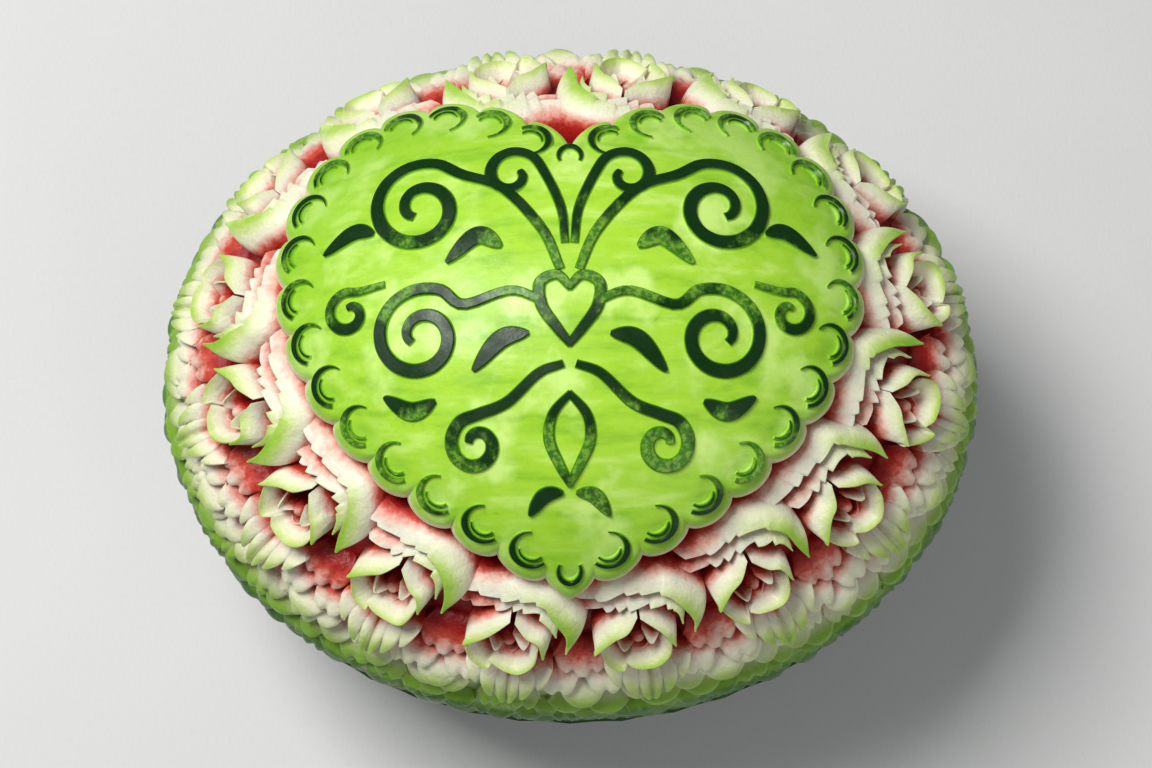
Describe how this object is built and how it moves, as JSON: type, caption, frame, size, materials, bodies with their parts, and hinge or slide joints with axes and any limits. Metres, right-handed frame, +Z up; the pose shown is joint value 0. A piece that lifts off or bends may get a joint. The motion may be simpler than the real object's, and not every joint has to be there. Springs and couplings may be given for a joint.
{
  "type": "carved watermelon",
  "caption": "Whole watermelon lying on its side, its upper half carved as a ring of roses and leaves round a scalloped heart plaque with raised scrollwork; uncut rind below.",
  "frame": {"origin": "middle of the small flat underneath that the fruit rests on, in the middle of its outline seen from above", "axes": "+X from the stem end to the blossom end, +Y from the heart's tip to its notch, +Z up, out of the heart plaque's middle"},
  "size_m": [0.2972, 0.2449, 0.244],
  "materials": {
    "watermelon": "moist cut fruit, satin"
  },
  "bodies": {
    "root": {"watermelon": "watermelon"}
  },
  "joints": []
}
